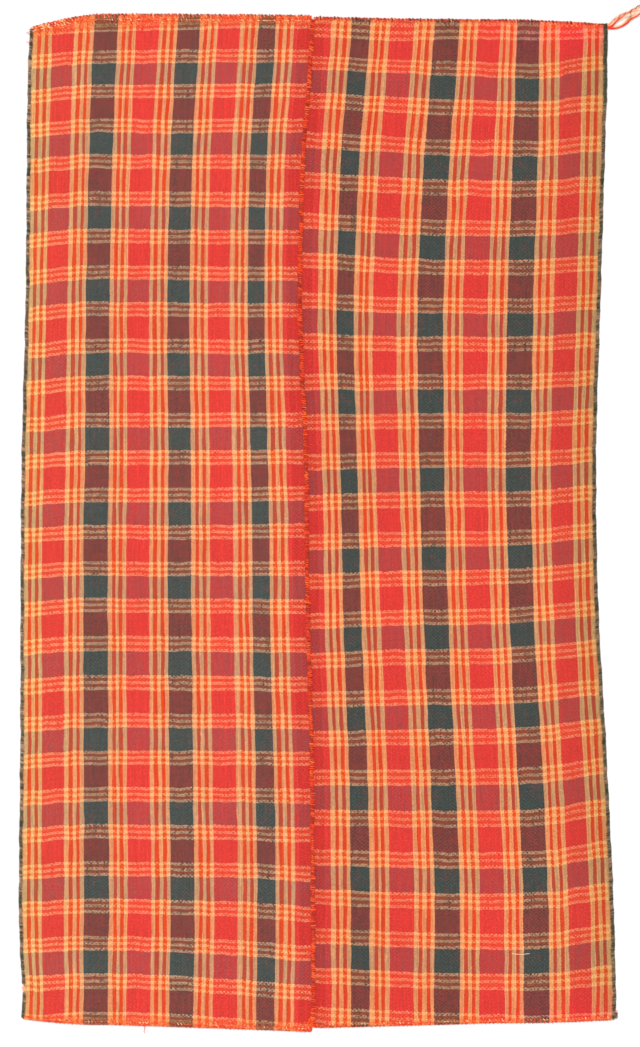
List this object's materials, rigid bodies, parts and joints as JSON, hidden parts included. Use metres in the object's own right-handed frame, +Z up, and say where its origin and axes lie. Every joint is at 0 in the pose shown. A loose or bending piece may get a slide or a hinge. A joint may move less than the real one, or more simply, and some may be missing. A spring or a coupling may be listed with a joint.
{
  "type": "jajim",
  "caption": "Flat-woven plaid wool cover of two loom widths joined by a yarn seam, with overcast edging and a corner tassel, lying flat.",
  "frame": {"origin": "middle of the outline, corner tassel included, on the surface that the cloth lies on", "axes": "+X across the cloth from the left panel to the right one, +Y up the cloth towards the whipped hem, +Z up out of the cloth's face"},
  "size_m": [1.2958, 2.1182, 0.0032],
  "materials": {
    "plaid_wool": "matt twill weave, red, orange, cream and dark green plaid",
    "seam_yarn": "matt wool yarn, orange-red",
    "edging_yarn": "matt wool yarn, dark green",
    "tassel_yarn": "loose wool yarn, orange and cream"
  },
  "bodies": {
    "root": {"panel_left": "plaid_wool", "panel_right": "plaid_wool", "joining_seam": "seam_yarn", "edging_left": "edging_yarn", "edging_left_end": "edging_yarn", "edging_right": "edging_yarn", "corner_tassel": "tassel_yarn"}
  },
  "joints": []
}
